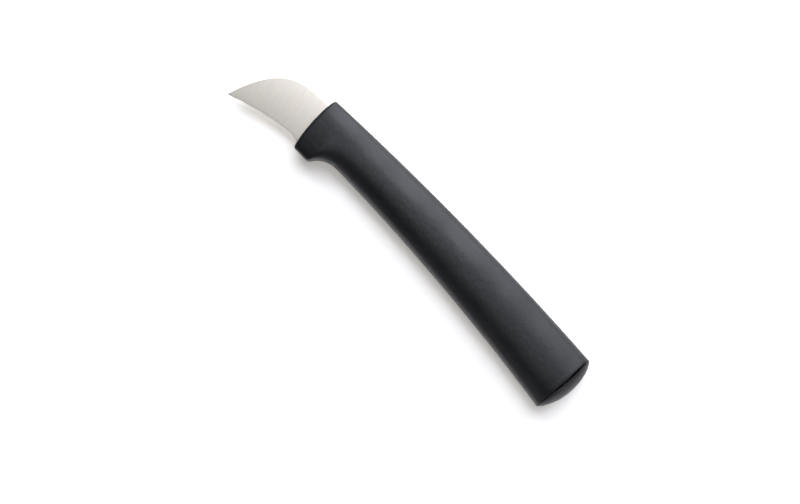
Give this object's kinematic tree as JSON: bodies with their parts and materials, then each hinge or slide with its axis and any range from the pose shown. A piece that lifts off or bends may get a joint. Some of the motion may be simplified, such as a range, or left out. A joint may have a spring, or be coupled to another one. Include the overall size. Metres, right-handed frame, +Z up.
{
  "type": "chestnut knife",
  "caption": "Kitchen knife with a short hooked steel blade and a bowed black plastic handle with a finger groove and a domed butt, for scoring chestnut shells.",
  "frame": {"origin": "below the middle of the knife, on the surface that it lies on", "axes": "+X from the tip to the butt along the handle, +Y to the back of the handle, -Y to the cutting edge, +Z up out of the side of the blade"},
  "size_m": [0.164, 0.0292, 0.013],
  "materials": {
    "blade_steel": "satin ground stainless steel with fine lines across the edge",
    "handle_plastic": "black moulded plastic with a fine matt grain",
    "cap_plastic": "black moulded plastic with a fine matt grain"
  },
  "bodies": {
    "root": {"blade": "blade_steel", "handle": "handle_plastic", "end_cap": "cap_plastic"}
  },
  "joints": []
}
